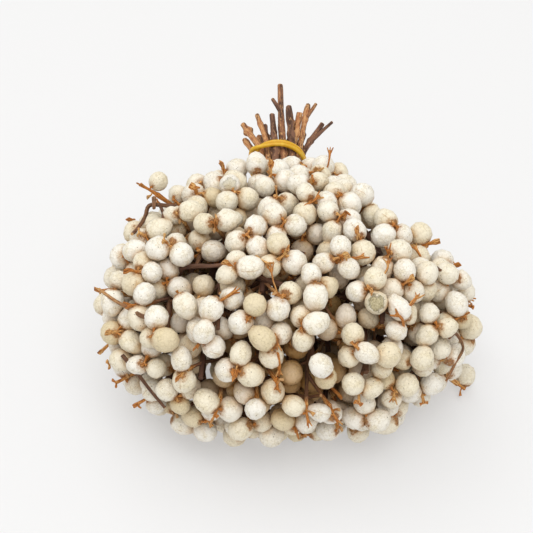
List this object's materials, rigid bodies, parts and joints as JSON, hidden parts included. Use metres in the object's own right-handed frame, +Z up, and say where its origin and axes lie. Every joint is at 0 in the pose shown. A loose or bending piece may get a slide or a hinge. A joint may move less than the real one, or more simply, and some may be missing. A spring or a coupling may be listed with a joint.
{
  "type": "tied bunch of dried tallow berry sprigs",
  "caption": "Dried branches densely set with round creamy white berries, gathered by a rubber band near their cut ends, lying on the head of berries; a decoration",
  "frame": {"origin": "middle of the bunch's box in X and Y, on the surface that it lies on", "axes": "+Y points along the bunch to the cut ends of the stems, -Y to the head of berries, +Z up"},
  "size_m": [0.1295, 0.1501, 0.08],
  "materials": {
    "branch": "dry bark, matt",
    "stalk": "dry fibrous stalk, matt, orange brown",
    "berry": "dry wax coat, creamy white with fine wrinkles and specks",
    "rubber": "satin, mustard yellow"
  },
  "bodies": {
    "root": {"sprig_01": "branch", "sprig_02": "branch", "sprig_03": "branch", "sprig_04": "branch", "sprig_05": "branch", "sprig_06": "branch", "sprig_07": "branch", "sprig_08": "branch", "sprig_09": "branch", "sprig_10": "branch", "sprig_11": "branch", "sprig_12": "branch", "sprig_13": "branch", "sprig_14": "branch", "sprig_15": "branch", "sprig_16": "branch", "sprig_17": "branch", "sprig_18": "branch", "sprig_19": "branch", "sprig_20": "branch", "sprig_21": "branch", "sprig_22": "branch", "sprig_23": "branch", "sprig_24": "branch", "rubber_band": "rubber"}
  },
  "joints": []
}
